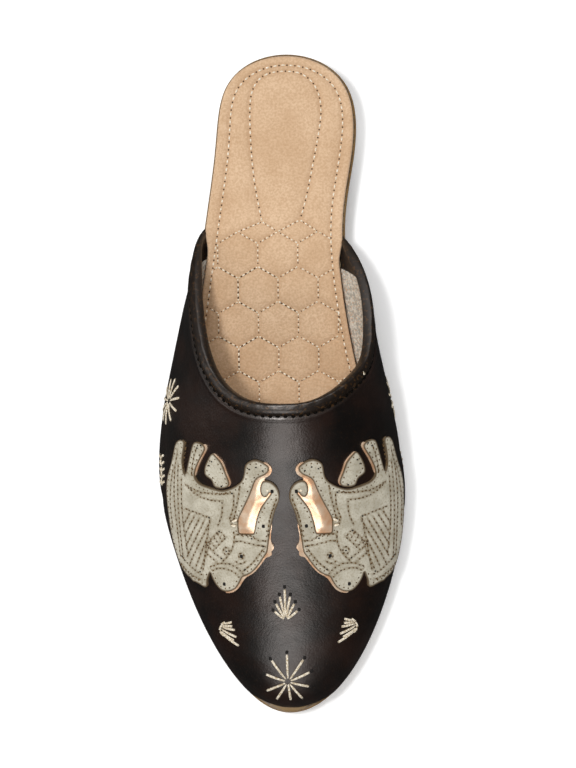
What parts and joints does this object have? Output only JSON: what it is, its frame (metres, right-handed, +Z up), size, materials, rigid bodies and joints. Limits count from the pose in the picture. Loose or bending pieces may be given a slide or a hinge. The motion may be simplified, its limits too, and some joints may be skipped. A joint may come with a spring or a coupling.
{
  "type": "mule",
  "caption": "Backless closed-toe mule for the right foot: soft leather upper over a quilted insole on a moulded sole with a low wedge heel.",
  "frame": {"origin": "on the floor, below the middle of the shoe's box", "axes": "+Z up; +Y from the toe to the heel; +X towards the inner (medial) side of the foot"},
  "size_m": [0.093, 0.25, 0.0635],
  "materials": {
    "sole_rubber": "olive-tan moulded rubber, satin",
    "insole_suede": "peach-tan suede cloth, quilted",
    "upper_leather": "near-black brown smooth leather, semi-gloss"
  },
  "bodies": {
    "root": {"sole": "sole_rubber", "insole": "insole_suede", "upper": "upper_leather"}
  },
  "joints": []
}
